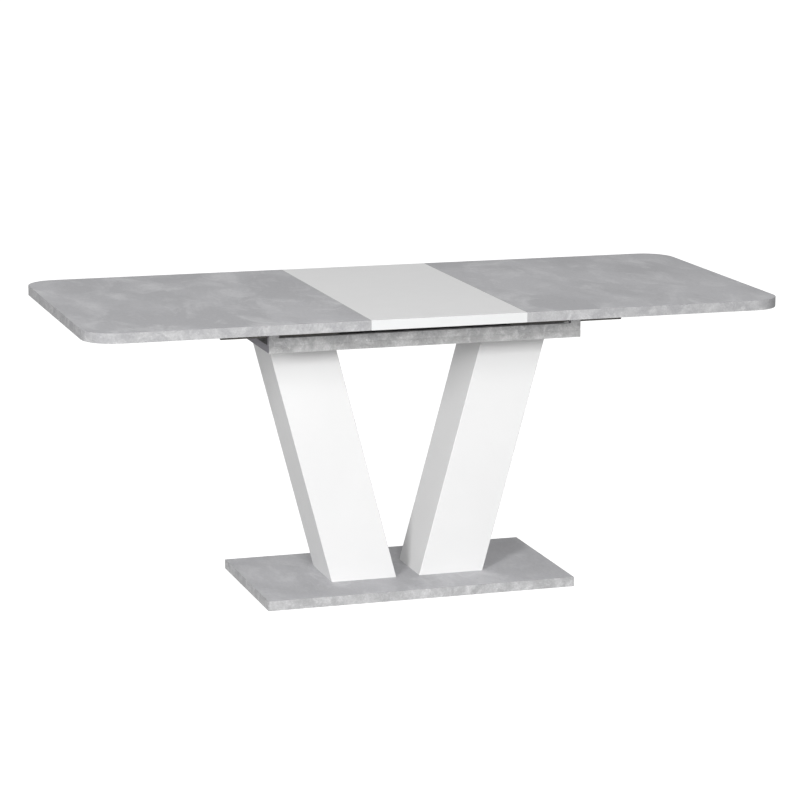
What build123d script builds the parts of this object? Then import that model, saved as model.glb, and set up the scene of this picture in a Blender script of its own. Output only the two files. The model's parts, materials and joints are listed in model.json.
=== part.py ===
from build123d import *
import math
import os

# An extendable pedestal dining table, drawn open with its loose leaf in place.
# Millimetres. The origin is on the floor under the middle of the table, +X runs
# along the table, +Y to its back and +Z up.

# Driving dimensions
table_length = 1788.0
table_width = 800.0
table_height = 760.0
leaf_width = 400.0
board = 25.0  # top halves, leaf and base plate
edge_band = 1.0  # ABS strip glued round every 25 mm board
arris = 0.7  # the strip's trimmed outer edges
corner_radius = 80.0  # outer corners of the top
seam_gap = 0.3  # each joint between the leaf and a half

base_length = 816.0
base_width = 430.0
glide_height = 2.0
glide_radius = 12.0
glide_chamfer = 0.5
glide_inset = 25.0  # from the base plate's edges to a glide's middle

frame_length = 816.0  # the shallow open-ended box that carries the top
frame_width = 456.0
frame_board = 18.0
frame_bottom = 658.0
apron_board = 15.0
apron_height = 18.5
apron_setback = 1.0  # the plate's edge stands proud of the aprons
end_block_length = 26.0
felt = 1.5
felt_inset = 2.0
apron_screw_xs = (-330.0, -110.0, 110.0, 330.0)

leg_width = 173.0  # level section of a leaning leg, along X
leg_depth = 168.0
leg_board = 16.0
leg_corner = 1.5
foot_x = 117.5  # middle of a leg at the base plate
head_x = 286.5  # middle of a leg under the frame plate
block_height = 40.0
leg_screw_offset = 42.0  # from a leg's middle, both ways

travel = leaf_width / 2  # how far each half slides in when the table closes
rail_wall = 3.0
rail_web = 2.5
runner_gap = 0.5  # beside and below a runner
guide_bar_thick = 7.5
guide_bar_inset = 4.0  # from each end of the frame
guide_screw_offset = 9.0  # above and below a guide bar's middle
slide_gap = 0.2
web_gap = 0.3
leaf_felt_length = 30.0
rail_lip = 21.5  # flat flange that screws to the half top
rail_inner_end = 225.0  # open position, so the rails stop 25 mm short of the middle
rail_outer_end = 525.0
rail_screw_steps = (25.0, 110.0, 190.0, 275.0)  # from a rail's inner end

gear_module = 2.5
gear_teeth = 16
gear_face = 10.0
gear_backlash = 0.6
gear_drop = 26.0  # from the underside of the top to the underside of the pinion and the racks
pressure_angle = math.radians(20)
dedendum = 1.25 * gear_module
flank_steps = 5
rack_body = 11.0  # from a rack's pitch line to its back
rack_end = 14.0  # past the pinion's centre, with the table open
rack_tail = 430.0
rack_block_length = 130.0
rack_block_width = 40.0
rack_block_screw_inset = 25.0
pin_radius = 4.0
pin_gap = 0.06
pin_head_rim = 2.0
pin_head_thick = 1.5
hub_radius = 7.0
hub_proud = 1.0
clip_rim = 2.5
clip_thick = 1.0
keeper_thick = 2.0
keeper_length = 32.0
keeper_gap = 0.5
cross_rail_thick = 4.0
cross_rail_half = 20.0
turned_up_height = 22.0  # the cross rail's two ends turn up to meet the guide bars
turned_up_screw_rise = 12.0
turned_up_screw_x = 11.0

dowel_radius = 4.0
dowel_length = 30.0
dowel_proud = 10.0
dowel_tight_gap = 0.05
dowel_loose_gap = 0.3
dowel_hole_spare = 2.0  # depth past a dowel's end
dowel_rows = (-280.0, 0.0, 280.0)

# Screws and the holes for them
screw_gap = 0.1
recess_width = 1.2  # of the cross recess in a screw's head
recess_depth = 1.6
recess_reach = 1.3  # the recess's length, as a share of the head's radius
screw_sizes = {
    "leg": dict(length=50.0, shank=2.5, head=5.0, head_height=2.8),
    "apron": dict(length=31.0, shank=2.0, head=4.0, head_height=2.2),
    "runner": dict(length=18.0, shank=2.0, head=4.0, head_height=2.5, pan=True),
    "guide": dict(length=18.0, shank=2.0, head=4.0, head_height=2.2),
    "rack": dict(length=36.0, shank=2.0, head=3.6, head_height=2.5, pan=True),
    "cross": dict(length=12.5, shank=2.0, head=3.8, head_height=2.5, pan=True),
}

# Levels and lines worked out from them
top_under = table_height - board
base_top = glide_height + board
frame_top = frame_bottom + frame_board
apron_face = frame_width / 2 - apron_setback
apron_inner = apron_face - apron_board
guide_inner = apron_inner - guide_bar_thick
web_outer = guide_inner - web_gap
web_inner = web_outer - rail_web
rail_height = top_under - frame_top - apron_height - runner_gap
rail_bottom = top_under - rail_height
dowel_level = table_height - board / 2

gear_level = top_under - gear_drop
cross_top = gear_level - hub_proud
cross_rail_bottom = cross_top - cross_rail_thick
turned_up_top = cross_rail_bottom + turned_up_height
turned_up_screws = cross_rail_bottom + turned_up_screw_rise
gear_top = gear_level + gear_face
hub_top = gear_top + hub_proud
pitch_radius = gear_module * gear_teeth / 2
tooth_pitch = math.pi * gear_module
tip_line = pitch_radius - gear_module  # a rack's tooth tips and roots, from the pinion's centre
root_line = pitch_radius + dedendum
rack_back = pitch_radius + rack_body
rack_middle = (root_line + rack_back) / 2

os.makedirs("parts", exist_ok=True)


def save(builder, name):
    """Label a finished piece and write its STEP file."""
    builder.part.label = name
    export_step(builder.part, f"parts/{name}.step")


def slab(x_range, y_range, z_range):
    """A plain board between two limits on each axis."""
    sizes = [high - low for low, high in (x_range, y_range, z_range)]
    middle = [(high + low) / 2 for low, high in (x_range, y_range, z_range)]
    with BuildPart() as board_part:
        with Locations(tuple(middle)):
            Box(*sizes)
    return board_part.part


def screw_profile(length, shank, head, head_height, gap=0.0, pan=False):
    """A turned screw along +Z with the outer face of its head at z = 0, or with a gap its hole.

    A countersunk head tapers to the shank, and a pan head is a short cylinder.
    """
    profile = [(0, 0), (head + gap, 0)]
    if pan:
        profile.append((head + gap, head_height))
    profile += [(shank + gap, head_height), (shank + gap, length + gap), (0, length + gap)]
    with BuildPart() as body:
        with BuildSketch(Plane.XZ):
            with BuildLine():
                Polyline(*profile, close=True)
            make_face()
        revolve(axis=Axis.Z)
    return body.part


def screw(size):
    """A screw with a cross recess for the driver in its head."""
    with BuildPart() as made:
        add(screw_profile(**size))
        for turn in (0, 90):
            with Locations(Location((0, 0, 0), (0, 0, turn))):
                Box(recess_reach * size["head"], recess_width, 2 * recess_depth, mode=Mode.SUBTRACT)
    return made.part


def places(points, turn=(0, 0, 0)):
    """The same turn at each of several points."""
    return Locations(*[Location(point, turn) for point in points])


UP = (0, 0, 0)
DOWN = (180, 0, 0)
outward = {-1: (90, 0, 0), 1: (-90, 0, 0)}  # turns +Z to -Y or to +Y

screws = {kind: screw(size) for kind, size in screw_sizes.items()}
screw_holes = {kind: screw_profile(gap=screw_gap, **size) for kind, size in screw_sizes.items()}

# Screw positions
both_ways = (-leg_screw_offset, leg_screw_offset)
leg_offsets = [(dx, dy) for dx in both_ways for dy in both_ways]
foot_points = [(side * foot_x + dx, dy, glide_height) for side in (-1, 1) for dx, dy in leg_offsets]
head_points = [(side * head_x + dx, dy, frame_top) for side in (-1, 1) for dx, dy in leg_offsets]
apron_middle = apron_face - apron_board / 2
end_block_middle = frame_length / 2 - end_block_length / 2
apron_points = [(x, side * apron_middle, frame_bottom) for x in apron_screw_xs for side in (-1, 1)]
block_points = [
    (end * end_block_middle, side * apron_middle, frame_bottom) for end in (-1, 1) for side in (-1, 1)
]
guide_middle = (rail_bottom + top_under) / 2
lip_middle = web_inner - rail_lip / 2
rail_screw_xs = [rail_inner_end + step for step in rail_screw_steps]
rail_screw_level = top_under - rail_wall - screw_sizes["runner"]["head_height"]
rack_screw_xs = (rack_tail - rack_block_length + rack_block_screw_inset, rack_tail - rack_block_screw_inset)
rack_screw_level = gear_level - screw_sizes["rack"]["head_height"]


def banded_board(outline, inner_outline, bottom, name, holes, band_holes=()):
    """A laminated board and the edge band round it, each cut by its own list of holes."""
    with BuildPart() as core:
        with BuildSketch(Plane.XY.offset(bottom)):
            add(inner_outline)
        extrude(amount=board)
        for points, turn, shape in holes:
            with places(points, turn):
                add(shape, mode=Mode.SUBTRACT)
    save(core, name)
    with BuildPart() as band:
        with BuildSketch(Plane.XY.offset(bottom)):
            add(outline)
            add(inner_outline, mode=Mode.SUBTRACT)
        extrude(amount=board)
        rims = [band.faces().sort_by(Axis.Z)[end].outer_wire() for end in (0, -1)]
        fillet([edge for rim in rims for edge in rim.edges()], arris)
        for points, turn, shape in band_holes:
            with places(points, turn):
                add(shape, mode=Mode.SUBTRACT)
    save(band, f"{name}_edge_band")


def plain_outline(length, width):
    with BuildSketch() as outline:
        Rectangle(length, width)
    return outline.sketch


# ---------------------------------------------------------------- base plate

banded_board(
    plain_outline(base_length, base_width),
    plain_outline(base_length - 2 * edge_band, base_width - 2 * edge_band),
    glide_height,
    "base_plate",
    [(foot_points, UP, screw_holes["leg"])],
)

with BuildPart() as floor_glides:
    with BuildSketch():
        with GridLocations(base_length / 2 - glide_inset, base_width - 2 * glide_inset, 3, 2):
            Circle(glide_radius)
    extrude(amount=glide_height)
    chamfer(floor_glides.edges().group_by(Axis.Z)[0], glide_chamfer)
save(floor_glides, "floor_glides")

# ---------------------------------------------------------------- legs

leg_rise = frame_bottom - base_top
leg_shift = head_x - foot_x
lean = math.atan2(leg_shift, leg_rise)
side_wall = leg_board / math.cos(lean)  # level thickness of a leaning side board


def leg_x(side, level):
    """Middle of a leg at a level."""
    return side * (foot_x + leg_shift * (level - base_top) / leg_rise)


def lean_extrude(side, rise):
    """Carry a level section up along the leg's lean."""
    extrude(amount=rise / math.cos(lean), dir=(side * math.sin(lean), 0, math.cos(lean)))


half_w = leg_width / 2
half_d = leg_depth / 2
inner_w = half_w - side_wall
inner_d = half_d - leg_board
# Each board is a mitred quarter of the leg's hollow section: two outer corners and two inner ones
leg_quarters = {
    "front": ((-half_w, -half_d), (half_w, -half_d), (inner_w, -inner_d), (-inner_w, -inner_d)),
    "back": ((half_w, half_d), (-half_w, half_d), (-inner_w, inner_d), (inner_w, inner_d)),
    "left": ((-half_w, half_d), (-half_w, -half_d), (-inner_w, -inner_d), (-inner_w, inner_d)),
    "right": ((half_w, -half_d), (half_w, half_d), (inner_w, inner_d), (inner_w, -inner_d)),
}
face_names = {
    ("left", "left"): "outer",
    ("left", "right"): "inner",
    ("right", "left"): "inner",
    ("right", "right"): "outer",
}

for leg, side in (("left", -1), ("right", 1)):
    for quarter, corners in leg_quarters.items():
        with BuildPart() as leg_part:
            with BuildSketch(Plane((leg_x(side, base_top), 0, base_top))):
                RectangleRounded(leg_width, leg_depth, leg_corner)
                Rectangle(2 * inner_w, 2 * inner_d, mode=Mode.SUBTRACT)
                Polygon(*corners, align=None, mode=Mode.INTERSECT)
            lean_extrude(side, leg_rise)
        save(leg_part, f"{leg}_leg_{face_names.get((leg, quarter), quarter)}_board")
    with BuildPart() as foot_block:
        with BuildSketch(Plane((leg_x(side, base_top), 0, base_top))):
            Rectangle(2 * inner_w, 2 * inner_d)
        lean_extrude(side, block_height)
        with places(foot_points):
            add(screw_holes["leg"], mode=Mode.SUBTRACT)
    save(foot_block, f"{leg}_leg_foot_block")
    head_level = frame_bottom - block_height
    with BuildPart() as head_block:
        with BuildSketch(Plane((leg_x(side, head_level), 0, head_level))):
            Rectangle(2 * inner_w, 2 * inner_d)
        lean_extrude(side, block_height)
        with places(head_points, DOWN):
            add(screw_holes["leg"], mode=Mode.SUBTRACT)
    save(head_block, f"{leg}_leg_head_block")

with BuildPart() as foot_screws:
    with places(foot_points):
        add(screws["leg"])
save(foot_screws, "foot_screws")

with BuildPart() as head_screws:
    with places(head_points, DOWN):
        add(screws["leg"])
save(head_screws, "head_screws")

# ---------------------------------------------------------------- frame box

with BuildPart() as frame_plate:
    with BuildSketch(Plane.XY.offset(frame_bottom)):
        Rectangle(frame_length, frame_width)
    extrude(amount=frame_board)
    with places(head_points, DOWN):
        add(screw_holes["leg"], mode=Mode.SUBTRACT)
    with places(apron_points + block_points):
        add(screw_holes["apron"], mode=Mode.SUBTRACT)
save(frame_plate, "frame_plate")

apron_half = frame_length / 2 - end_block_length
for name, side in (("front", -1), ("back", 1)):
    y_range = sorted((side * apron_inner, side * apron_face))
    with BuildPart() as apron:
        add(slab((-apron_half, apron_half), y_range, (frame_top, frame_top + apron_height)))
        with places(apron_points):
            add(screw_holes["apron"], mode=Mode.SUBTRACT)
    save(apron, f"{name}_apron")

guide_points = {
    side: [
        (end * end_block_middle, side * guide_inner, guide_middle + dz)
        for end in (-1, 1)
        for dz in (-guide_screw_offset, guide_screw_offset)
    ]
    for side in (-1, 1)
}

with BuildPart() as apron_end_blocks:
    for end in (-1, 1):
        for side in (-1, 1):
            x_range = sorted((end * apron_half, end * frame_length / 2))
            y_range = sorted((side * apron_inner, side * apron_face))
            add(slab(x_range, y_range, (frame_top, top_under - felt)))
    with places(block_points):
        add(screw_holes["apron"], mode=Mode.SUBTRACT)
    for side in (-1, 1):
        with places(guide_points[side], outward[side]):
            add(screw_holes["guide"], mode=Mode.SUBTRACT)
save(apron_end_blocks, "apron_end_blocks")

with BuildPart() as apron_screws:
    with places(apron_points + block_points):
        add(screws["apron"])
save(apron_screws, "apron_screws")

with BuildPart() as end_block_felts:
    for end in (-1, 1):
        for side in (-1, 1):
            with Locations((end * end_block_middle, side * apron_middle, top_under - felt / 2)):
                Box(end_block_length - 2 * felt_inset, apron_board - 2 * felt_inset, felt)
save(end_block_felts, "end_block_felts")

# ---------------------------------------------------------------- slides fixed to the frame

guide_top = top_under - rail_wall - slide_gap
guide_bottom = rail_bottom + rail_wall + slide_gap
guide_half = frame_length / 2 - guide_bar_inset
cross_head_line = guide_inner - cross_rail_thick - screw_sizes["cross"]["head_height"]
cross_points = {
    side: [(dx, side * cross_head_line, turned_up_screws) for dx in (-turned_up_screw_x, turned_up_screw_x)]
    for side in (-1, 1)
}

for name, side in (("front", -1), ("back", 1)):
    y_range = sorted((side * guide_inner, side * apron_inner))
    with BuildPart() as guide_bar:
        add(slab((-guide_half, guide_half), y_range, (guide_bottom, guide_top)))
        with places(guide_points[side], outward[side]):
            add(screw_holes["guide"], mode=Mode.SUBTRACT)
        with places(cross_points[side], outward[side]):
            add(screw_holes["cross"], mode=Mode.SUBTRACT)
    save(guide_bar, f"{name}_guide_bar")

with BuildPart() as guide_bar_screws:
    for side in (-1, 1):
        with places(guide_points[side], outward[side]):
            add(screws["guide"])
save(guide_bar_screws, "guide_bar_screws")

with BuildPart() as cross_rail:
    # A flat steel bar across the frame with its two ends turned up
    with BuildSketch(Plane.YZ.offset(-cross_rail_half)):
        with BuildLine():
            Polyline(
                (-guide_inner, cross_rail_bottom),
                (guide_inner, cross_rail_bottom),
                (guide_inner, turned_up_top),
                (guide_inner - cross_rail_thick, turned_up_top),
                (guide_inner - cross_rail_thick, cross_top),
                (-guide_inner + cross_rail_thick, cross_top),
                (-guide_inner + cross_rail_thick, turned_up_top),
                (-guide_inner, turned_up_top),
                close=True,
            )
        make_face()
    extrude(amount=2 * cross_rail_half)
    for side in (-1, 1):
        with places(cross_points[side], outward[side]):
            add(screw_holes["cross"], mode=Mode.SUBTRACT)
    with Locations((0, 0, cross_rail_bottom)):
        Cylinder(pin_radius, 4 * cross_rail_thick, mode=Mode.SUBTRACT)
save(cross_rail, "cross_rail")

with BuildPart() as cross_rail_screws:
    for side in (-1, 1):
        with places(cross_points[side], outward[side]):
            add(screws["cross"])
save(cross_rail_screws, "cross_rail_screws")

with BuildPart() as leaf_felts:
    for side in (-1, 1):
        y_range = sorted((side * guide_inner, side * apron_inner))
        add(slab((-leaf_felt_length / 2, leaf_felt_length / 2), y_range, (guide_top, top_under)))
save(leaf_felts, "leaf_felts")

# ---------------------------------------------------------------- pinion and its keeper

with BuildPart() as pinion_pin:
    with BuildSketch(Plane.XZ):
        with BuildLine():
            Polyline(
                (0, cross_rail_bottom - pin_head_thick),
                (pin_radius + pin_head_rim, cross_rail_bottom - pin_head_thick),
                (pin_radius + pin_head_rim, cross_rail_bottom),
                (pin_radius, cross_rail_bottom),
                (pin_radius, hub_top + keeper_thick),
                (0, hub_top + keeper_thick),
                close=True,
            )
        make_face()
    revolve(axis=Axis.Z)
save(pinion_pin, "pinion_pin")

base_radius = pitch_radius * math.cos(pressure_angle)
tip_radius = pitch_radius + gear_module
root_radius = pitch_radius - dedendum


def involute(roll):
    """Radius and polar angle of an involute of the base circle at a roll angle."""
    return base_radius * math.hypot(1, roll), roll - math.atan(roll)


def tooth_corners(middle):
    """One tooth of the pinion: root, involute flank, tip and back, as points."""
    pitch_roll = math.tan(pressure_angle)
    half_angle = (tooth_pitch / 2 - gear_backlash / 2) / 2 / pitch_radius + involute(pitch_roll)[1]
    tip_roll = math.sqrt((tip_radius / base_radius) ** 2 - 1)
    flank = [involute(tip_roll * step / flank_steps) for step in range(flank_steps + 1)]
    rising = [(radius, middle - half_angle + turn) for radius, turn in flank]
    falling = [(radius, middle + half_angle - turn) for radius, turn in reversed(flank)]
    root = [(root_radius, middle - half_angle), (root_radius, middle + half_angle)]
    points = [root[0], *rising, *falling, root[1]]
    return [(radius * math.cos(turn), radius * math.sin(turn)) for radius, turn in points]


tooth_points = []
for tooth in range(gear_teeth):
    tooth_points += tooth_corners(2 * math.pi * tooth / gear_teeth)

with BuildPart() as sync_pinion:
    with BuildSketch(Plane.XY.offset(gear_level)):
        Polygon(*tooth_points, align=None)
    extrude(amount=gear_face)
    with BuildSketch(Plane.XY.offset(cross_top)):
        Circle(hub_radius)
    extrude(amount=hub_top - cross_top)
    with Locations((0, 0, gear_level)):
        Cylinder(pin_radius + pin_gap, 6 * gear_face, mode=Mode.SUBTRACT)
save(sync_pinion, "sync_pinion")

keeper_y = rack_back + keeper_gap
with BuildPart() as rack_keeper:
    # A bent steel bridge that holds the racks against the pinion
    with BuildSketch(Plane.YZ.offset(-keeper_length / 2)):
        with BuildLine():
            Polyline(
                (-keeper_y - keeper_thick, cross_top),
                (-keeper_y, cross_top),
                (-keeper_y, hub_top),
                (keeper_y, hub_top),
                (keeper_y, cross_top),
                (keeper_y + keeper_thick, cross_top),
                (keeper_y + keeper_thick, hub_top + keeper_thick),
                (-keeper_y - keeper_thick, hub_top + keeper_thick),
                close=True,
            )
        make_face()
    extrude(amount=keeper_length)
    with Locations((0, 0, hub_top)):
        Cylinder(pin_radius, 4 * keeper_thick, mode=Mode.SUBTRACT)
save(rack_keeper, "rack_keeper")

with BuildPart() as pinion_clip:
    # Push-on retaining ring over the end of the pin
    with BuildSketch(Plane.XY.offset(hub_top + keeper_thick)):
        Circle(pin_radius + clip_rim)
    extrude(amount=clip_thick)
save(pinion_clip, "pinion_clip")

# ---------------------------------------------------------------- sliding halves


def half_top_outline(side, inset):
    """One half of the top: its two outer corners are rounded."""
    inner = side * (leaf_width / 2 + inset)
    outer = side * (table_length / 2 - inset)
    with BuildSketch() as outline:
        with Locations(((inner + outer) / 2, 0)):
            Rectangle(abs(outer - inner), table_width - 2 * inset)
        rounded = outline.vertices().sort_by(Axis.X)
        fillet(rounded[:2] if side < 0 else rounded[2:], corner_radius - inset)
    return outline.sketch


def dowel_places(x):
    return [(x, y, dowel_level) for y in dowel_rows]


def dowel_pin(gap, length):
    """A dowel, or the hole for one, along +X from its end."""
    with BuildPart() as pin:
        with BuildSketch(Plane.YZ):
            Circle(dowel_radius + gap)
        extrude(amount=length)
    return pin.part


tight_hole = dowel_pin(dowel_tight_gap, dowel_length - dowel_proud)
socket_depth = dowel_proud + dowel_hole_spare
socket_hole = dowel_pin(dowel_loose_gap, socket_depth)
leaf_half = leaf_width / 2 - seam_gap
left_sockets = (dowel_places(-leaf_width / 2 - socket_depth), UP, socket_hole)
right_pin_holes = (dowel_places(leaf_width / 2), UP, tight_hole)
leaf_pin_holes = (dowel_places(-leaf_half), UP, tight_hole)
leaf_sockets = (dowel_places(leaf_half - socket_depth), UP, socket_hole)

for name, side in (("left", -1), ("right", 1)):
    across = left_sockets if side < 0 else right_pin_holes
    rail_points = [(side * x, y * lip_middle, rail_screw_level) for x in rail_screw_xs for y in (-1, 1)]
    rack_side = -side  # the left rack runs behind the pinion and the right rack in front of it
    rack_points = [(side * x, rack_side * rack_middle, rack_screw_level) for x in rack_screw_xs]
    banded_board(
        half_top_outline(side, 0),
        half_top_outline(side, edge_band),
        top_under,
        f"{name}_top",
        [
            across,
            (rail_points, UP, screw_holes["runner"]),
            (rack_points, UP, screw_holes["rack"]),
        ],
        [across],
    )
    for place, rail_side in (("front", -1), ("back", 1)):
        with BuildPart() as runner:
            # Aluminium profile: a channel round the guide bar and a lip under the top
            with BuildSketch(Plane.YZ.offset(min(side * rail_inner_end, side * rail_outer_end))):
                with BuildLine():
                    reach = apron_inner - runner_gap
                    Polyline(
                        (rail_side * (web_inner - rail_lip), top_under),
                        (rail_side * reach, top_under),
                        (rail_side * reach, top_under - rail_wall),
                        (rail_side * web_outer, top_under - rail_wall),
                        (rail_side * web_outer, rail_bottom + rail_wall),
                        (rail_side * reach, rail_bottom + rail_wall),
                        (rail_side * reach, rail_bottom),
                        (rail_side * web_inner, rail_bottom),
                        (rail_side * web_inner, top_under - rail_wall),
                        (rail_side * (web_inner - rail_lip), top_under - rail_wall),
                        close=True,
                    )
                make_face()
            extrude(amount=rail_outer_end - rail_inner_end)
            with places(rail_points):
                add(screw_holes["runner"], mode=Mode.SUBTRACT)
        save(runner, f"{name}_{place}_runner")
    with BuildPart() as runner_screws:
        with places(rail_points):
            add(screws["runner"])
    save(runner_screws, f"{name}_runner_screws")

    # The rack: straight-sided teeth, with a space over the pinion's centre when open
    teeth_from = -travel - rack_end
    tooth_count = round((rack_end - teeth_from) / tooth_pitch)
    slope = math.tan(pressure_angle)
    tooth_half = (tooth_pitch / 2 - gear_backlash / 2) / 2
    tip_half = tooth_half - gear_module * slope
    root_half = tooth_half + dedendum * slope
    outline_points = [(-rack_tail, rack_back), (-rack_tail, root_line)]
    for tooth in range(tooth_count):
        middle = (tooth + 1.5) * tooth_pitch - tooth_count * tooth_pitch
        outline_points += [
            (middle - root_half, root_line),
            (middle - tip_half, tip_line),
            (middle + tip_half, tip_line),
            (middle + root_half, root_line),
        ]
    outline_points += [(rack_end, root_line), (rack_end, rack_back)]
    turned = [(-side * x, rack_side * y) for x, y in outline_points]
    with BuildPart() as rack:
        with BuildSketch(Plane.XY.offset(gear_level)):
            Polygon(*turned, align=None)
        extrude(amount=gear_face)
        with places(rack_points):
            add(screw_holes["rack"], mode=Mode.SUBTRACT)
    save(rack, f"{name}_rack")

    with BuildPart() as rack_block:
        x_range = sorted((side * (rack_tail - rack_block_length), side * rack_tail))
        rack_block_half = rack_block_width / 2
        y_range = sorted(rack_side * (rack_middle + edge) for edge in (-rack_block_half, rack_block_half))
        add(slab(x_range, y_range, (gear_top, top_under)))
        with places(rack_points):
            add(screw_holes["rack"], mode=Mode.SUBTRACT)
    save(rack_block, f"{name}_rack_block")

    with BuildPart() as rack_screws:
        with places(rack_points):
            add(screws["rack"])
    save(rack_screws, f"{name}_rack_screws")

with BuildPart() as right_top_dowels:
    with places(dowel_places(leaf_width / 2 - dowel_proud)):
        add(dowel_pin(0, dowel_length))
save(right_top_dowels, "right_top_dowels")

# ---------------------------------------------------------------- loose leaf


def leaf_outline(inset):
    return plain_outline(2 * (leaf_half - inset), table_width - 2 * inset)


banded_board(
    leaf_outline(0),
    leaf_outline(edge_band),
    top_under,
    "leaf",
    [leaf_pin_holes, leaf_sockets],
    [leaf_pin_holes, leaf_sockets],
)

with BuildPart() as leaf_dowels:
    with places(dowel_places(-leaf_half - dowel_proud)):
        add(dowel_pin(0, dowel_length))
save(leaf_dowels, "leaf_dowels")
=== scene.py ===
"""An extendable dining table: two concrete-look halves, a white leaf, two white legs and a base plate.

Every CAD piece has its real shape, down to the edge bands' arrises and the screws' cross
recesses, so all of them stay as they are. This script gives each piece its finish, and sets up
the floor, the light and the camera.
"""

import json
import math

import bpy
from mathutils import Matrix, Vector

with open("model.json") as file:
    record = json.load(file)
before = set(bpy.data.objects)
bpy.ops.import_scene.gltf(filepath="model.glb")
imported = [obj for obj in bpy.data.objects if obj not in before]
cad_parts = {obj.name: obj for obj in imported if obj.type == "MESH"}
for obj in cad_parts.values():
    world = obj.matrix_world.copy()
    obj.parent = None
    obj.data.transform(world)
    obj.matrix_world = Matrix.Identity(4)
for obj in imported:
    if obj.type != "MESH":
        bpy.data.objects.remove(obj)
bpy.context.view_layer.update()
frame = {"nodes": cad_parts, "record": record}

MM = 0.001


# ---------------------------------------------------------------- colour and node helpers


# Sockets that share a name and so go by number: a Math node's values, and a Mix node's colours
FIRST, SECOND = 0, 1
FACTOR, COLOUR_A, COLOUR_B, COLOUR_OUT = 0, 6, 7, 2


def linear(hex_colour):
    """An sRGB hex colour as linear red, green, blue and alpha."""
    parts = [int(hex_colour[i : i + 2], 16) / 255 for i in (1, 3, 5)]
    return [c / 12.92 if c <= 0.04045 else ((c + 0.055) / 1.055) ** 2.4 for c in parts] + [1.0]


def per_metre(size_mm):
    """A pattern's scale, in repeats per metre, from the real size of one repeat in millimetres."""
    return 1000.0 / size_mm


def span(low, high, to_low=0.0, to_high=1.0):
    """Values for a Map Range node, which turns low to high into to_low to to_high."""
    return {"From Min": low, "From Max": high, "To Min": to_low, "To Max": to_high}


def put(tree, kind, inputs=None, **settings):
    """Add a node: settings are its own choices, and inputs are values or links for its sockets."""
    made = tree.nodes.new("ShaderNode" + kind)
    for name, value in settings.items():
        setattr(made, name, value)
    for name, value in (inputs or {}).items():
        if isinstance(value, bpy.types.NodeSocket):
            tree.links.new(value, made.inputs[name])
        else:
            made.inputs[name].default_value = value
    return made


def new_material(name):
    """A material with an empty tree, its Principled shader and the object's own coordinates."""
    material = bpy.data.materials.new(name)
    material.use_nodes = True
    tree = material.node_tree
    tree.nodes.clear()
    shader = put(tree, "BsdfPrincipled")
    put(tree, "OutputMaterial", {"Surface": shader.outputs[0]})
    place = put(tree, "TexCoord").outputs["Object"]
    return material, tree, shader, place


# ---------------------------------------------------------------- concrete decor


def decor_clouds(tree, moved, cloud_mm, base, light, dark):
    """Broad clouds of the base and dark tones, with pale trowel smears half their size over them."""
    cloud = put(
        tree,
        "TexNoise",
        {
            "Vector": moved,
            "Scale": per_metre(cloud_mm),
            "Detail": 5.0,
            "Roughness": 0.6,
            "Distortion": 0.2,
        },
    )
    cloud_mask = put(
        tree,
        "MapRange",
        {"Value": cloud.outputs[0], **span(0.36, 0.62)},
        interpolation_type="SMOOTHSTEP",
    )
    clouded = put(
        tree,
        "Mix",
        {FACTOR: cloud_mask.outputs[0], COLOUR_A: linear(dark), COLOUR_B: linear(base)},
        data_type="RGBA",
    )
    smear = put(
        tree,
        "TexNoise",
        {
            "Vector": moved,
            "Scale": per_metre(0.5 * cloud_mm),
            "Detail": 7.0,
            "Roughness": 0.68,
            "Distortion": 0.6,
        },
    ).outputs[0]
    smear_mask = put(tree, "MapRange", {"Value": smear, **span(0.5, 0.7, 0.0, 0.9)})
    smeared = put(
        tree,
        "Mix",
        {
            FACTOR: smear_mask.outputs[0],
            COLOUR_A: clouded.outputs[COLOUR_OUT],
            COLOUR_B: linear(light),
        },
        data_type="RGBA",
    )
    return smeared.outputs[COLOUR_OUT], smear


def decor_veins(tree, place, moved, cloud_mm, colour, light, strength):
    """Thin pale veins, where a wandering noise crosses its middle value, and only in some patches."""
    wander = put(
        tree,
        "TexNoise",
        {
            "Vector": moved,
            "Scale": per_metre(0.55 * cloud_mm),
            "Detail": 5.0,
            "Roughness": 0.62,
            "Distortion": 1.1,
        },
    )
    off_middle = put(tree, "Math", {FIRST: wander.outputs[0], SECOND: 0.5}, operation="SUBTRACT")
    ridge = put(tree, "Math", {FIRST: off_middle.outputs[0]}, operation="ABSOLUTE")
    line = put(tree, "MapRange", {"Value": ridge.outputs[0], **span(0.0, 0.009, 1.0, 0.0)})
    patch = put(tree, "TexNoise", {"Vector": place, "Scale": per_metre(0.9 * cloud_mm), "Detail": 1.0})
    patch_mask = put(tree, "MapRange", {"Value": patch.outputs[0], **span(0.5, 0.6)})
    vein = put(
        tree, "Math", {FIRST: line.outputs[0], SECOND: patch_mask.outputs[0]}, operation="MULTIPLY"
    )
    amount = put(tree, "Math", {FIRST: vein.outputs[0], SECOND: strength}, operation="MULTIPLY")
    veined = put(
        tree,
        "Mix",
        {FACTOR: amount.outputs[0], COLOUR_A: colour, COLOUR_B: linear(light)},
        data_type="RGBA",
    )
    return veined.outputs[COLOUR_OUT]


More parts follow.
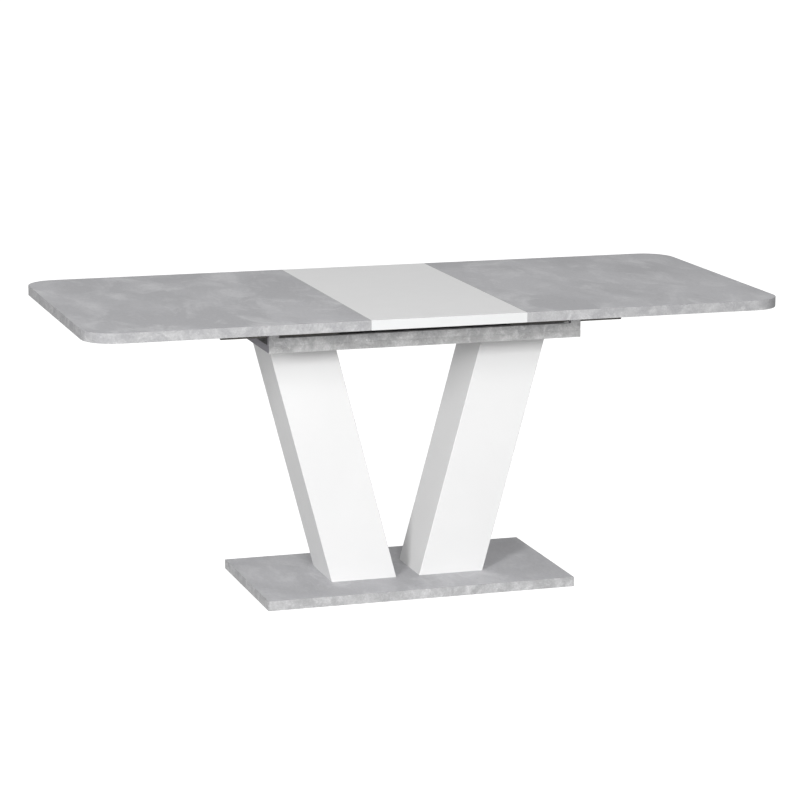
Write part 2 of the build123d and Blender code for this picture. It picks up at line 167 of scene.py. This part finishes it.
def decor_tone(tree, drawn, moved, fleck_mm, fleck_depth):
    """How much the fine flecks and the few dark pores lighten or darken the print."""
    fleck = put(
        tree,
        "TexNoise",
        {"Vector": drawn, "Scale": per_metre(fleck_mm), "Detail": 4.0, "Roughness": 0.75},
    )
    fleck_tone = put(
        tree,
        "MapRange",
        {"Value": fleck.outputs[0], **span(0.32, 0.68, 1.0 - fleck_depth, 1.0 + fleck_depth)},
    )
    pore = put(tree, "TexVoronoi", {"Vector": moved, "Scale": per_metre(38.0)})
    pore_tone = put(
        tree, "MapRange", {"Value": pore.outputs["Distance"], **span(0.03, 0.075, 0.84, 1.0)}
    )
    tone = put(
        tree, "Math", {FIRST: fleck_tone.outputs[0], SECOND: pore_tone.outputs[0]}, operation="MULTIPLY"
    )
    return tone.outputs[0]


def decor_shaded_ends(tree, colour, end_shade_colour):
    """Painted shade: a plain dark colour instead of the print on the faces that look along the table,
    standing in for the shadow they lie in under the top.
    """
    facing = put(tree, "SeparateXYZ", {"Vector": put(tree, "TexCoord").outputs["Normal"]})
    either_way = put(tree, "Math", {FIRST: facing.outputs["X"]}, operation="ABSOLUTE")
    end_shade_mask = put(tree, "MapRange", {"Value": either_way.outputs[0], **span(0.85, 0.95)})
    end_shaded = put(
        tree,
        "Mix",
        {FACTOR: end_shade_mask.outputs[0], COLOUR_A: colour, COLOUR_B: linear(end_shade_colour)},
        data_type="RGBA",
    )
    return end_shaded.outputs[COLOUR_OUT]


def concrete_decor(
    name,
    base,
    light,
    dark,
    cloud_mm,
    fleck_mm,
    fleck_depth,
    vein_strength,
    stroke=(1.0, 1.0, 1.0),
    end_shade_colour=None,
):
    """Melamine board printed with poured concrete: broad clouds, trowel smears, veins, flecks and pores.

    The decor paper is printed from a scan of real concrete, so its clouds are soft and of several
    sizes, its pale veins are thin and broken, and the pressed surface is a dry satin. A stroke
    below 1 along an axis draws the pattern out along it, as a trowel does. The short ends may
    carry painted shade instead: a plain darker colour standing in for the shadow they lie in.
    """
    material, tree, shader, place = new_material(name)
    drawn = put(tree, "Mapping", {"Vector": place, "Scale": stroke}).outputs[0]
    # A broad noise pushes the pattern up to 60 mm aside, so that its clouds don't look even
    bend = put(
        tree, "TexNoise", {"Vector": drawn, "Scale": per_metre(1.6 * cloud_mm), "Detail": 2.0}
    )
    push = put(
        tree,
        "VectorMath",
        {FIRST: bend.outputs["Color"], SECOND: (60 * MM, 60 * MM, 60 * MM)},
        operation="MULTIPLY",
    )
    moved = put(tree, "VectorMath", {FIRST: drawn, SECOND: push.outputs[0]}).outputs[0]
    colour, smear = decor_clouds(tree, moved, cloud_mm, base, light, dark)
    colour = decor_veins(tree, place, moved, cloud_mm, colour, light, vein_strength)
    tone = decor_tone(tree, drawn, moved, fleck_mm, fleck_depth)
    colour = put(tree, "VectorMath", {FIRST: colour, "Scale": tone}, operation="SCALE").outputs[0]
    # Painted shade: the faces looking along the table are darkened to stand in for their shadow
    if end_shade_colour:
        colour = decor_shaded_ends(tree, colour, end_shade_colour)
    tree.links.new(colour, shader.inputs["Base Color"])
    # The pale smears are pressed a little drier than the rest
    gloss = put(tree, "MapRange", {"Value": smear, **span(0.35, 0.7, 0.5, 0.62)})
    tree.links.new(gloss.outputs[0], shader.inputs["Roughness"])
    # Pressed pores a few hundredths of a millimetre deep, drawn as coarse as the flecks to show
    grain = put(
        tree,
        "TexNoise",
        {"Vector": place, "Scale": per_metre(2.5), "Detail": 3.0, "Roughness": 0.6},
    )
    rough = put(tree, "Math", {FIRST: grain.outputs[0], SECOND: tone}, operation="ADD")
    bump = put(tree, "Bump", {"Height": rough.outputs[0], "Strength": 0.25, "Distance": 0.08 * MM})
    tree.links.new(bump.outputs[0], shader.inputs["Normal"])
    shader.inputs["IOR"].default_value = 1.5
    return material


# ---------------------------------------------------------------- other finishes


def white_board(name, colour, shade, roughness, peel_mm, peel_depth_mm):
    """White foil or melamine over board: an even satin white with a faint orange-peel surface."""
    material, tree, shader, place = new_material(name)
    broad = put(tree, "TexNoise", {"Vector": place, "Scale": per_metre(260.0), "Detail": 2.0})
    tint = put(
        tree,
        "MapRange",
        {"Value": broad.outputs[0], **span(0.35, 0.65)},
        interpolation_type="SMOOTHSTEP",
    )
    mixed = put(
        tree,
        "Mix",
        {FACTOR: tint.outputs[0], COLOUR_A: linear(colour), COLOUR_B: linear(shade)},
        data_type="RGBA",
    )
    tree.links.new(mixed.outputs[COLOUR_OUT], shader.inputs["Base Color"])
    wiped = put(tree, "TexNoise", {"Vector": place, "Scale": per_metre(45.0), "Detail": 3.0})
    gloss = put(
        tree,
        "MapRange",
        {"Value": wiped.outputs[0], **span(0.3, 0.7, roughness - 0.03, roughness + 0.04)},
    )
    tree.links.new(gloss.outputs[0], shader.inputs["Roughness"])
    peel = put(tree, "TexNoise", {"Vector": place, "Scale": per_metre(peel_mm), "Detail": 2.0})
    bump = put(
        tree,
        "Bump",
        {"Height": peel.outputs[0], "Strength": 0.3, "Distance": peel_depth_mm * MM},
    )
    tree.links.new(bump.outputs[0], shader.inputs["Normal"])
    shader.inputs["IOR"].default_value = 1.5
    return material


def particle_board(name):
    """Bare particle board: flat wood chips of several browns pressed together with resin."""
    material, tree, shader, place = new_material(name)
    chip = put(tree, "TexVoronoi", {"Vector": place, "Scale": per_metre(4.0), "Randomness": 1.0})
    split = put(tree, "SeparateColor", {"Color": chip.outputs["Color"]})
    tone = put(
        tree,
        "Mix",
        {FACTOR: split.outputs[0], COLOUR_A: linear("#8F7048"), COLOUR_B: linear("#C9AC7C")},
        data_type="RGBA",
    )
    dust = put(tree, "TexNoise", {"Vector": place, "Scale": per_metre(1.5), "Detail": 2.0})
    dusted = put(
        tree,
        "Mix",
        {
            FACTOR: dust.outputs[0],
            COLOUR_A: tone.outputs[COLOUR_OUT],
            COLOUR_B: linear("#A88A5C"),
        },
        data_type="RGBA",
    )
    tree.links.new(dusted.outputs[COLOUR_OUT], shader.inputs["Base Color"])
    shader.inputs["Roughness"].default_value = 0.85
    bump = put(
        tree, "Bump", {"Height": chip.outputs["Distance"], "Strength": 0.5, "Distance": 0.2 * MM}
    )
    tree.links.new(bump.outputs[0], shader.inputs["Normal"])
    return material


def beech_dowel(name):
    """Turned beech: pale pinkish wood with short dark ray flecks along the grain."""
    material, tree, shader, place = new_material(name)
    along = put(tree, "Mapping", {"Vector": place, "Scale": (0.12, 1.0, 1.0)})
    grain = put(
        tree,
        "TexNoise",
        {"Vector": along.outputs[0], "Scale": per_metre(0.9), "Detail": 3.0, "Roughness": 0.6},
    )
    fleck = put(tree, "MapRange", {"Value": grain.outputs[0], **span(0.35, 0.65)})
    tone = put(
        tree,
        "Mix",
        {FACTOR: fleck.outputs[0], COLOUR_A: linear("#B98D5F"), COLOUR_B: linear("#DDB98C")},
        data_type="RGBA",
    )
    tree.links.new(tone.outputs[COLOUR_OUT], shader.inputs["Base Color"])
    shader.inputs["Roughness"].default_value = 0.55
    bump = put(tree, "Bump", {"Height": grain.outputs[0], "Strength": 0.3, "Distance": 0.05 * MM})
    tree.links.new(bump.outputs[0], shader.inputs["Normal"])
    return material


def zinc_plate(name):
    """Bright zinc over steel: a cool, slightly cloudy mirror with yellowish stains."""
    material, tree, shader, place = new_material(name)
    scuff = put(
        tree,
        "TexNoise",
        {"Vector": place, "Scale": per_metre(0.8), "Detail": 3.0, "Roughness": 0.7},
    )
    spot = put(tree, "TexNoise", {"Vector": place, "Scale": per_metre(9.0), "Detail": 4.0})
    spot_mask = put(tree, "MapRange", {"Value": spot.outputs[0], **span(0.45, 0.7)})
    tone = put(
        tree,
        "Mix",
        {FACTOR: spot_mask.outputs[0], COLOUR_A: linear("#C9CBCC"), COLOUR_B: linear("#B6B49A")},
        data_type="RGBA",
    )
    tree.links.new(tone.outputs[COLOUR_OUT], shader.inputs["Base Color"])
    shader.inputs["Metallic"].default_value = 1.0
    gloss = put(tree, "MapRange", {"Value": scuff.outputs[0], **span(0.3, 0.7, 0.26, 0.44)})
    tree.links.new(gloss.outputs[0], shader.inputs["Roughness"])
    bump = put(tree, "Bump", {"Height": scuff.outputs[0], "Strength": 0.2, "Distance": 0.03 * MM})
    tree.links.new(bump.outputs[0], shader.inputs["Normal"])
    return material


def grained_skin(name, colour, worn, roughness, grain_mm, depth_mm):
    """Powder coat, moulded nylon or polyethylene: a fine grain that rubs paler in places."""
    material, tree, shader, place = new_material(name)
    grain = put(
        tree,
        "TexNoise",
        {"Vector": place, "Scale": per_metre(grain_mm), "Detail": 2.0, "Roughness": 0.6},
    )
    rub = put(
        tree,
        "TexNoise",
        {"Vector": place, "Scale": per_metre(38.0), "Detail": 5.0, "Roughness": 0.7},
    )
    rub_mask = put(tree, "MapRange", {"Value": rub.outputs[0], **span(0.48, 0.75)})
    tone = put(
        tree,
        "Mix",
        {FACTOR: rub_mask.outputs[0], COLOUR_A: linear(colour), COLOUR_B: linear(worn)},
        data_type="RGBA",
    )
    tree.links.new(tone.outputs[COLOUR_OUT], shader.inputs["Base Color"])
    gloss = put(
        tree,
        "MapRange",
        {"Value": grain.outputs[0], **span(0.3, 0.7, roughness - 0.06, roughness + 0.08)},
    )
    tree.links.new(gloss.outputs[0], shader.inputs["Roughness"])
    bump = put(
        tree, "Bump", {"Height": grain.outputs[0], "Strength": 0.4, "Distance": depth_mm * MM}
    )
    tree.links.new(bump.outputs[0], shader.inputs["Normal"])
    return material


def needled_felt(name):
    """Needled polyester felt: matted grey fibres, dull at every angle with a soft bright rim."""
    material, tree, shader, place = new_material(name)
    fibre = put(
        tree,
        "TexNoise",
        {
            "Vector": place,
            "Scale": per_metre(0.7),
            "Detail": 6.0,
            "Roughness": 0.8,
            "Distortion": 2.0,
        },
    )
    tone = put(
        tree,
        "Mix",
        {FACTOR: fibre.outputs[0], COLOUR_A: linear("#2E2E30"), COLOUR_B: linear("#6A6A6C")},
        data_type="RGBA",
    )
    tree.links.new(tone.outputs[COLOUR_OUT], shader.inputs["Base Color"])
    shader.inputs["Roughness"].default_value = 0.95
    shader.inputs["Sheen Weight"].default_value = 0.3
    bump = put(tree, "Bump", {"Height": fibre.outputs[0], "Strength": 0.8, "Distance": 0.25 * MM})
    tree.links.new(bump.outputs[0], shader.inputs["Normal"])
    return material


# ---------------------------------------------------------------- which finish goes where

# The print on the narrow edges and on the box is smaller and sharper than on the tops
edge_print = dict(cloud_mm=48.0, fleck_mm=4.5)
# The frame's short ends get painted shade: a plain dark colour for their shadow under the top
frame_print = dict(cloud_mm=44.0, fleck_mm=4.5, vein_strength=0.8, end_shade_colour="#86848A")

finishes = {
    # Printed paper under clear melamine: soft grey clouds drawn out across the table, dry satin
    "concrete_laminate": concrete_decor(
        "concrete decor melamine",
        "#BCBCBF",
        "#CECED0",
        "#B0B0B3",
        cloud_mm=150.0,
        fleck_mm=8.0,
        fleck_depth=0.05,
        vein_strength=0.35,
        stroke=(1.0, 0.5, 1.0),
    ),
    # Printed ABS strip: the same grey with more fleck, since it is seen from nearer
    "concrete_edge": concrete_decor(
        "concrete decor ABS edge band",
        "#A1A1A2",
        "#B3B3B4",
        "#949496",
        fleck_depth=0.13,
        vein_strength=0.7,
        **edge_print,
    ),
    # A cheaper foil on the box: coarser fleck, and painted shade on the short ends, a plain dark colour
    "frame_laminate": concrete_decor(
        "concrete decor frame board", "#B8B8B8", "#D2D2D2", "#A2A2A3", fleck_depth=0.17, **frame_print
    ),
    # Smooth white melamine: a broad soft highlight
    "white_laminate": white_board("white melamine", "#EBEBEB", "#EAEAEA", 0.38, 3.0, 0.04),
    # White ABS strip, a shade off the board that it edges
    "white_edge": white_board("white ABS edge band", "#CCCDCD", "#CBCCCC", 0.34, 5.0, 0.03),
    # White foil stretched round the legs' boards: the board's texture shows faintly through
    "leg_white": white_board("white foil wrap", "#D7D7D7", "#D5D5D5", 0.36, 4.0, 0.05),
    "raw_board": particle_board("bare particle board"),
    "beech": beech_dowel("turned beech"),
    "zinc_screw": zinc_plate("bright zinc plate"),
    # Baked powder: a fine even pebble that scatters light softly
    "steel_guide": grained_skin("black powder coat", "#1B1B1D", "#29292B", 0.5, 1.2, 0.05),
    "aluminium_rail": grained_skin(
        "grey powder coated aluminium", "#66635F", "#716E6A", 0.5, 1.4, 0.05
    ),
    # Moulded plastics: finer grain, a little shinier than the powder coat
    "black_nylon": grained_skin("glass filled nylon", "#1A1A1C", "#303033", 0.45, 0.9, 0.04),
    "felt_pad": needled_felt("needled felt"),
    "glide_plastic": grained_skin("moulded polyethylene", "#232325", "#38383A", 0.42, 1.5, 0.03),
}

# Painted light and shade: the base plate's band is a lighter copy of the top's band, painted
# light for light its front does not get, and the box's bottom plate a darker copy of its aprons'
# board, painted shade for how it is lit
painted_light_copies = {
    # Painted shade: the bottom plate's decor is darkened to stand in for how it is lit
    "frame_plate": concrete_decor(
        "concrete decor bottom plate in painted shade", "#ACACAC", "#C4C4C4", "#989898", fleck_depth=0.16, **frame_print
    ),
    # Painted light: the base band's decor is lightened to stand in for light on the base's front
    "base_plate_edge_band": concrete_decor(
        "concrete decor base edge band in painted light",
        "#ADADAE",
        "#C4C4C5",
        "#9C9C9D",
        fleck_depth=0.15,
        vein_strength=0.8,
        **edge_print,
    ),
}

for row in frame["record"]["subparts"]:
    finish = painted_light_copies.get(row["node"], finishes[row["material_slot"]])
    for held in frame["nodes"][row["node"]].material_slots:
        held.material = finish


# ---------------------------------------------------------------- room, light and camera

FLOOR_REACH = 60.0  # metres from the middle to the floor's sides, past what any view takes in
FLOOR_LIGHT = 0.22  # what the floor gives off towards the table, as a lit white floor does
FLOOR_WHITE = 0.78  # what it gives off besides that towards the camera, to look plain white
WALL_LIGHT = 0.92
CEILING_LIGHT = 0.37
TABLE_MIDDLE = (0.0, 0.0, 0.35)  # what every lamp faces

SENSOR_MM = 36.0
LENS_MM = 130.13
FARTHEST_SEEN = 200.0
CAMERA_PLACE = (-2.251, -6.926, 1.983)
# Degrees: left of straight ahead along +Y, down from level, and anticlockwise about the line of sight
CAMERA_TURN = (-18.03, 11.71, 0.33)


def pale_floor():
    """A plain white studio floor, lit evenly enough to hold no shadow."""
    reach = FLOOR_REACH
    corners = [(-reach, -reach, 0), (reach, -reach, 0), (reach, reach, 0), (-reach, reach, 0)]
    mesh = bpy.data.meshes.new("floor")
    mesh.from_pydata(corners, [], [(0, 1, 2, 3)])
    held = bpy.data.objects.new("floor", mesh)
    bpy.context.scene.collection.objects.link(held)
    material, tree, shader, place = new_material("white studio floor")
    patch = put(tree, "TexNoise", {"Vector": place, "Scale": per_metre(333.0)})
    tone = put(
        tree,
        "Mix",
        {FACTOR: patch.outputs[0], COLOUR_A: linear("#8A8A8A"), COLOUR_B: linear("#8C8C8C")},
        data_type="RGBA",
    )
    tree.links.new(tone.outputs[COLOUR_OUT], shader.inputs["Base Color"])
    shader.inputs["Roughness"].default_value = 0.9
    shader.inputs["Specular IOR Level"].default_value = 0.0
    seen = put(tree, "LightPath").outputs["Is Camera Ray"]
    extra = put(tree, "Math", {FIRST: seen, SECOND: FLOOR_WHITE}, operation="MULTIPLY")
    glow = put(tree, "Math", {FIRST: extra.outputs[0], SECOND: FLOOR_LIGHT}, operation="ADD")
    shader.inputs["Emission Color"].default_value = linear("#FFFFFF")
    tree.links.new(glow.outputs[0], shader.inputs["Emission Strength"])
    mesh.materials.append(material)


def white_room():
    """A white room whose light falls smoothly from the walls to the ceiling."""
    world = bpy.data.worlds.new("white studio")
    bpy.context.scene.world = world
    world.use_nodes = True
    tree = world.node_tree
    height = put(tree, "SeparateXYZ", {"Vector": put(tree, "TexCoord").outputs["Generated"]})
    strength = put(
        tree,
        "MapRange",
        {"Value": height.outputs["Z"], **span(0.05, 0.45, WALL_LIGHT, CEILING_LIGHT)},
        interpolation_type="SMOOTHSTEP",
    )
    tree.nodes["Background"].inputs["Color"].default_value = linear("#FFFFFF")
    tree.links.new(strength.outputs[0], tree.nodes["Background"].inputs["Strength"])


def softbox(name, place, width, height, watts):
    """A soft rectangular lamp that faces the middle of the table."""
    lamp = bpy.data.lights.new(name, "AREA")
    lamp.shape = "RECTANGLE"
    lamp.size = width
    lamp.size_y = height
    lamp.energy = watts
    held = bpy.data.objects.new(name, lamp)
    bpy.context.scene.collection.objects.link(held)
    held.location = place
    held.rotation_mode = "QUATERNION"
    held.rotation_quaternion = (Vector(TABLE_MIDDLE) - Vector(place)).to_track_quat("-Z", "Y")


def studio_camera():
    """A long lens from the front left, a little above the table."""
    lens = bpy.data.cameras.new("camera")
    lens.sensor_width = SENSOR_MM
    lens.lens = LENS_MM
    lens.clip_end = FARTHEST_SEEN
    held = bpy.data.objects.new("camera", lens)
    bpy.context.scene.collection.objects.link(held)
    bpy.context.scene.camera = held
    yaw, pitch, roll = (math.radians(angle) for angle in CAMERA_TURN)
    ahead = Vector(
        (-math.sin(yaw) * math.cos(pitch), math.cos(yaw) * math.cos(pitch), -math.sin(pitch))
    )
    level_right = Vector((math.cos(yaw), math.sin(yaw), 0))
    level_up = level_right.cross(ahead)
    right = level_right * math.cos(roll) + level_up * math.sin(roll)
    up = level_up * math.cos(roll) - level_right * math.sin(roll)
    turned = Matrix((right, up, -ahead)).transposed().to_4x4()
    held.matrix_world = Matrix.Translation(Vector(CAMERA_PLACE)) @ turned


pale_floor()
white_room()
softbox("tall front left softbox", (-4.89, -5.83, 2.82), 1.4, 2.8, 450.0)
softbox("front softbox", (-1.31, -7.40, 3.09), 1.4, 1.4, 233.0)
softbox("low right fill", (4.49, -6.41, 2.01), 1.4, 1.4, 32.0)
softbox("ceiling panel", (0.0, 0.0, 6.0), 4.0, 4.0, 22.0)
studio_camera()

bpy.context.scene.view_settings.view_transform = "Standard"
